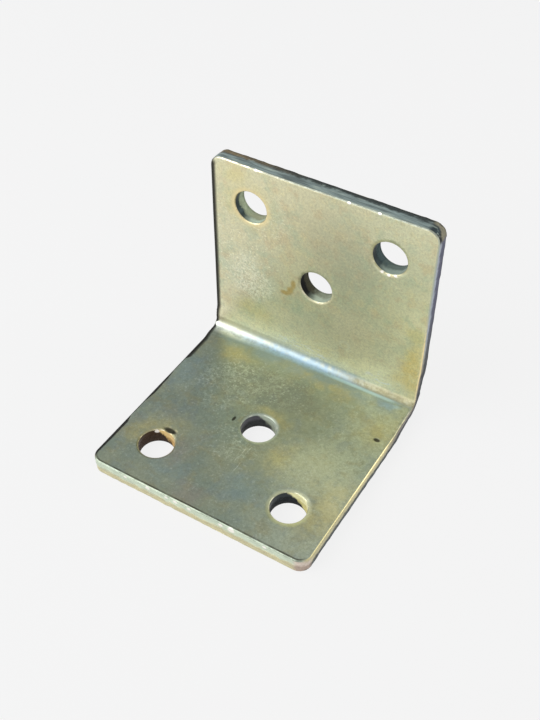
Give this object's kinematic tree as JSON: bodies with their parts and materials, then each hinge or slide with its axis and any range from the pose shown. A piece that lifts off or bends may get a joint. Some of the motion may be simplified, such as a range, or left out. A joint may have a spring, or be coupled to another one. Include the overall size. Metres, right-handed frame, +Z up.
{
  "type": "angle bracket",
  "caption": "Folded steel angle bracket with two equal flanges, rounded free corners and punched screw holes in a triangle on each flange.",
  "frame": {"origin": "middle of the bounding box's bottom face: under the base flange, midway across the width and midway between its front edge and the back of the upright", "axes": "+X along the bend, +Y from the base's front edge towards the back of the upright, +Z up along the upright"},
  "size_m": [0.0412, 0.0406, 0.0394],
  "materials": {
    "passivated_zinc": "yellow passivated zinc plate, satin, with iridescent patches"
  },
  "bodies": {
    "root": {"bracket": "passivated_zinc"}
  },
  "joints": []
}
